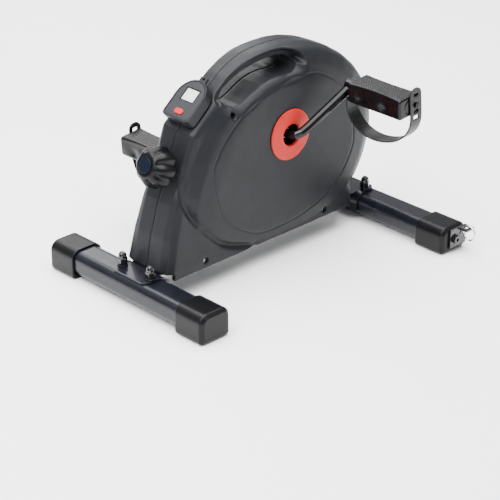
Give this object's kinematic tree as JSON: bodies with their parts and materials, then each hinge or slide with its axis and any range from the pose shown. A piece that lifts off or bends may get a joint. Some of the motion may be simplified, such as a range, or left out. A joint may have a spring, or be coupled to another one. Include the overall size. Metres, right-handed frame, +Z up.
{
  "type": "pedal exerciser",
  "caption": "Portable magnetic pedal exerciser with a two-shell housing, carrying handle, tension knob, meter and strapped pedals on two stabilizer bars.",
  "frame": {"origin": "on the floor, under the middle of the bounding box: midway between the two stabilizer bars, in the plane of the housing seam", "axes": "+X from the user side to the far side, +Y to the left, +Z up"},
  "size_m": [0.514, 0.5012, 0.3352],
  "materials": {
    "housing_plastic": "fine moulded texture, satin",
    "frame_paint": "satin powder coat, blue-black",
    "cap_plastic": "moulded, satin",
    "zinc_steel": "zinc plated",
    "black_hardware": "gloss black plated",
    "crank_gloss": "gloss black enamel",
    "bright_steel": "machined",
    "ring_chrome": "polished",
    "flywheel_iron": "turned rim",
    "magnet_ferrite": "sintered",
    "belt_rubber": "matt",
    "cover_red": "satin gloss",
    "button_red": "satin gloss",
    "pedal_plastic": "moulded tread",
    "strap_rubber": "satin",
    "meter_panel": "smooth satin",
    "lcd_glass": "clear window over a pale display",
    "cap_navy": "gloss"
  },
  "bodies": {
    "base": {"right_housing": "housing_plastic", "left_housing": "housing_plastic", "meter_case": "housing_plastic", "main_frame": "frame_paint", "user_stabilizer_tube": "frame_paint", "far_stabilizer_tube": "frame_paint", "user_end_cap_left": "cap_plastic", "user_end_cap_right": "cap_plastic", "far_end_cap_left": "cap_plastic", "far_end_cap_right": "cap_plastic", "speed_sensor": "cap_plastic", "user_carriage_bolt_left": "zinc_steel", "user_washer_left": "black_hardware", "user_acorn_nut_left": "black_hardware", "user_carriage_bolt_right": "zinc_steel", "user_washer_right": "black_hardware", "user_acorn_nut_right": "black_hardware", "far_carriage_bolt_left": "zinc_steel", "far_washer_left": "black_hardware", "far_acorn_nut_left": "black_hardware", "far_carriage_bolt_right": "zinc_steel", "far_washer_right": "black_hardware", "far_acorn_nut_right": "black_hardware", "flywheel_axle": "bright_steel", "crank_bearing_left": "bright_steel", "crank_bearing_right": "bright_steel", "housing_screw_top": "black_hardware", "housing_screw_user": "black_hardware", "housing_screw_far": "black_hardware", "bracket_bolt_left": "black_hardware", "bracket_bolt_right": "black_hardware", "ring_bracket_left": "black_hardware", "ring_bracket_right": "black_hardware", "drive_belt": "belt_rubber", "hub_cover_left": "cover_red", "hub_cover_right": "cover_red", "meter_face": "meter_panel", "lcd_window": "lcd_glass"},
    "crankset": {"crank_axle": "bright_steel", "drive_pulley": "cap_plastic", "crank_arm_left": "crank_gloss", "crank_arm_right": "crank_gloss", "pedal_spindle_left": "bright_steel", "pedal_spindle_right": "bright_steel"},
    "right_pedal": {"pedal_body_right": "pedal_plastic", "pedal_strap_right": "strap_rubber", "strap_peg_right": "cap_plastic"},
    "left_pedal": {"pedal_body_left": "pedal_plastic", "pedal_strap_left": "strap_rubber", "strap_peg_left": "cap_plastic"},
    "flywheel_set": {"flywheel": "flywheel_iron", "flywheel_pulley": "bright_steel"},
    "knob": {"tension_knob": "cap_plastic", "knob_cap": "cap_navy", "tension_spindle": "bright_steel"},
    "magnet_arm": {"magnet_carriage": "bright_steel", "magnet_strip": "magnet_ferrite"},
    "button": {"mode_button": "button_red"},
    "right_ring": {"band_ring_right": "ring_chrome"},
    "left_ring": {"band_ring_left": "ring_chrome"}
  },
  "joints": [
    {"name": "crank_spin", "type": "hinge", "parent": "base", "child": "crankset", "pos_m": [0.0348, 0, 0.2026], "axis": [0, 1, 0], "continuous": true},
    {"name": "pedal_spin_right", "type": "hinge", "parent": "crankset", "child": "right_pedal", "pos_m": [0.13158, -0.15, 0.26284], "axis": [0, 1, 0], "continuous": true},
    {"name": "pedal_spin_left", "type": "hinge", "parent": "crankset", "child": "left_pedal", "pos_m": [-0.06198, 0.15, 0.14236], "axis": [0, 1, 0], "continuous": true},
    {"name": "flywheel_spin", "type": "hinge", "parent": "base", "child": "flywheel_set", "pos_m": [-0.07, 0, 0.142], "axis": [0, 1, 0], "continuous": true},
    {"name": "knob_turn", "type": "hinge", "parent": "base", "child": "knob", "pos_m": [-0.168, 0, 0.194], "axis": [-0.9232, 0, 0.3843], "range_deg": [0, 315]},
    {"name": "magnet_swing", "type": "hinge", "parent": "base", "child": "magnet_arm", "pos_m": [-0.128, 0, 0.084], "axis": [0, -1, 0], "range_deg": [0, 6.1]},
    {"name": "button_press", "type": "slide", "parent": "base", "child": "button", "axis": [0.6414, 0, -0.7672], "range_m": [0, 0.0008], "stiffness_N_per_m": 400},
    {"name": "ring_swing_right", "type": "hinge", "parent": "base", "child": "right_ring", "pos_m": [0.2425, -0.23775, 0.0385], "axis": [-1, 0, 0], "range_deg": [0, 80]},
    {"name": "ring_swing_left", "type": "hinge", "parent": "base", "child": "left_ring", "pos_m": [0.2425, 0.23775, 0.0385], "axis": [1, 0, 0], "range_deg": [0, 80]}
  ],
  "couplings": [
    {"joint": "flywheel_spin", "follows": "crank_spin", "ratio": 6.5},
    {"joint": "magnet_swing", "follows": "knob_turn", "ratio": 0.019048}
  ]
}
